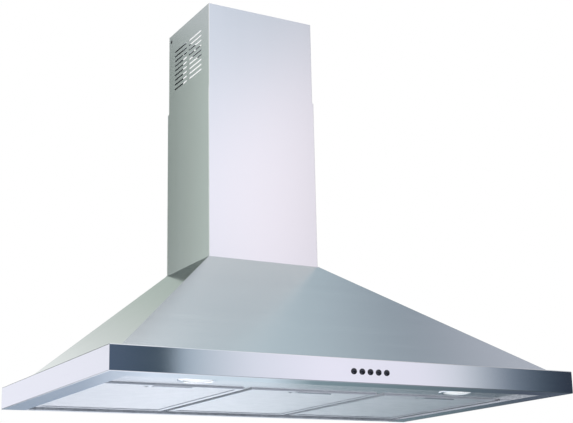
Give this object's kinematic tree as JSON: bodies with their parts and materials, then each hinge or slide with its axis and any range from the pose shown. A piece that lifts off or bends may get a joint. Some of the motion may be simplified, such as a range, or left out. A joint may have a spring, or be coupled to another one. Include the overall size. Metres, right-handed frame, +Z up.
{
  "type": "chimney range hood",
  "caption": "Wall-hung pyramid range hood with a telescopic square flue, slotted side vents, push buttons on the front band, and recessed lamps and mesh filters beneath.",
  "frame": {"origin": "on the wall plane, at the middle of the canopy's lowest rear edge", "axes": "+X to the right seen from the front, +Y into the wall, +Z up"},
  "size_m": [0.9, 0.5536, 0.805],
  "materials": {
    "stainless_steel": "brushed stainless sheet, satin",
    "galvanised_steel": "galvanised sheet, dull",
    "bright_steel": "bright zinc and polished steel",
    "polished_chrome": "polished chrome",
    "lamp_trim": "satin lamp trim",
    "lens_glass": "frosted lens",
    "reflector": "spun reflector",
    "bulb_glass": "clear capsule",
    "filter_aluminium": "anodised frame",
    "filter_mesh": "expanded mesh layers",
    "motor_paint": "dark motor enamel",
    "grey_plastic": "moulded grey plastic",
    "black_plastic": "moulded black plastic",
    "capacitor_can": "pale capacitor case",
    "rubber": "soft rubber"
  },
  "bodies": {
    "canopy": {"front_fascia": "stainless_steel", "left_skirt": "stainless_steel", "right_skirt": "stainless_steel", "canopy_front": "stainless_steel", "canopy_left": "stainless_steel", "canopy_right": "stainless_steel", "lamp_strip": "stainless_steel", "lower_flue": "stainless_steel", "back_panel": "galvanised_steel", "top_plate": "galvanised_steel", "rear_ledge": "galvanised_steel", "side_rails": "galvanised_steel", "left_crossbar": "galvanised_steel", "right_crossbar": "galvanised_steel", "flue_locators": "galvanised_steel", "blower_scroll": "galvanised_steel", "left_blower_side": "galvanised_steel", "right_blower_side": "galvanised_steel", "inlet_rings": "galvanised_steel", "motor_bracket": "galvanised_steel", "outlet_duct": "galvanised_steel", "capacitor_clip": "galvanised_steel", "damper_rod": "galvanised_steel", "motor": "motor_paint", "blower_screws": "bright_steel", "switch_nuts": "bright_steel", "duct_collar": "grey_plastic", "switch_block": "black_plastic", "junction_box": "black_plastic", "junction_cover": "black_plastic", "capacitor": "capacitor_can", "cable_grommet": "rubber", "lamp_bulbs": "bulb_glass", "left_lamp_ring": "lamp_trim", "left_lamp_lens": "lens_glass", "left_lamp_housing": "reflector", "right_lamp_ring": "lamp_trim", "right_lamp_lens": "lens_glass", "right_lamp_housing": "reflector"},
    "upper_flue": {"upper_flue": "stainless_steel", "flue_bracket": "galvanised_steel"},
    "impeller": {"impeller": "galvanised_steel", "impeller_blades": "galvanised_steel", "motor_shaft": "bright_steel"},
    "front_flap": {"front_flap": "grey_plastic"},
    "rear_flap": {"rear_flap": "grey_plastic"},
    "left_filter": {"left_filter_frame": "filter_aluminium", "left_filter_mesh": "filter_mesh"},
    "left_latch": {"left_filter_latch": "bright_steel"},
    "middle_filter": {"middle_filter_frame": "filter_aluminium", "middle_filter_mesh": "filter_mesh"},
    "middle_latch": {"middle_filter_latch": "bright_steel"},
    "right_filter": {"right_filter_frame": "filter_aluminium", "right_filter_mesh": "filter_mesh"},
    "right_latch": {"right_filter_latch": "bright_steel"},
    "stop_button": {"stop_button": "polished_chrome"},
    "slow_button": {"slow_button": "polished_chrome"},
    "medium_button": {"medium_button": "polished_chrome"},
    "fast_button": {"fast_button": "polished_chrome"},
    "lamp_button": {"lamp_button": "polished_chrome"}
  },
  "joints": [
    {"name": "flue_slide", "type": "slide", "parent": "canopy", "child": "upper_flue", "axis": [0, 0, 1], "range_m": [-0.16, 0.13]},
    {"name": "impeller_spin", "type": "hinge", "parent": "canopy", "child": "impeller", "pos_m": [0, -0.144, 0.15], "axis": [1, 0, 0], "continuous": true},
    {"name": "front_flap_hinge", "type": "hinge", "parent": "canopy", "child": "front_flap", "pos_m": [0, -0.09, 0.297], "axis": [-1, 0, 0], "range_deg": [0, 75]},
    {"name": "rear_flap_hinge", "type": "hinge", "parent": "canopy", "child": "rear_flap", "pos_m": [0, -0.09, 0.297], "axis": [1, 0, 0], "range_deg": [0, 75]},
    {"name": "left_filter_hinge", "type": "hinge", "parent": "canopy", "child": "left_filter", "pos_m": [-0.272, -0.023, 0.00815], "axis": [1, 0, 0], "range_deg": [0, 75]},
    {"name": "left_latch_slide", "type": "slide", "parent": "left_filter", "child": "left_latch", "axis": [0, 1, 0], "range_m": [0, 0.008], "stiffness_N_per_m": 400, "springref_m": -0.005},
    {"name": "middle_filter_hinge", "type": "hinge", "parent": "canopy", "child": "middle_filter", "pos_m": [0, -0.023, 0.00815], "axis": [1, 0, 0], "range_deg": [0, 75]},
    {"name": "middle_latch_slide", "type": "slide", "parent": "middle_filter", "child": "middle_latch", "axis": [0, 1, 0], "range_m": [0, 0.008], "stiffness_N_per_m": 400, "springref_m": -0.005},
    {"name": "right_filter_hinge", "type": "hinge", "parent": "canopy", "child": "right_filter", "pos_m": [0.272, -0.023, 0.00815], "axis": [1, 0, 0], "range_deg": [0, 75]},
    {"name": "right_latch_slide", "type": "slide", "parent": "right_filter", "child": "right_latch", "axis": [0, 1, 0], "range_m": [0, 0.008], "stiffness_N_per_m": 400, "springref_m": -0.005},
    {"name": "stop_button_press", "type": "slide", "parent": "canopy", "child": "stop_button", "axis": [0, 1, 0], "range_m": [0, 0.0025], "stiffness_N_per_m": 500, "springref_m": -0.001},
    {"name": "slow_button_press", "type": "slide", "parent": "canopy", "child": "slow_button", "axis": [0, 1, 0], "range_m": [0, 0.0025], "stiffness_N_per_m": 500, "springref_m": -0.001},
    {"name": "medium_button_press", "type": "slide", "parent": "canopy", "child": "medium_button", "axis": [0, 1, 0], "range_m": [0, 0.0025], "stiffness_N_per_m": 500, "springref_m": -0.001},
    {"name": "fast_button_press", "type": "slide", "parent": "canopy", "child": "fast_button", "axis": [0, 1, 0], "range_m": [0, 0.0025], "stiffness_N_per_m": 500, "springref_m": -0.001},
    {"name": "lamp_button_press", "type": "slide", "parent": "canopy", "child": "lamp_button", "axis": [0, 1, 0], "range_m": [0, 0.0025], "stiffness_N_per_m": 500, "springref_m": -0.001}
  ]
}
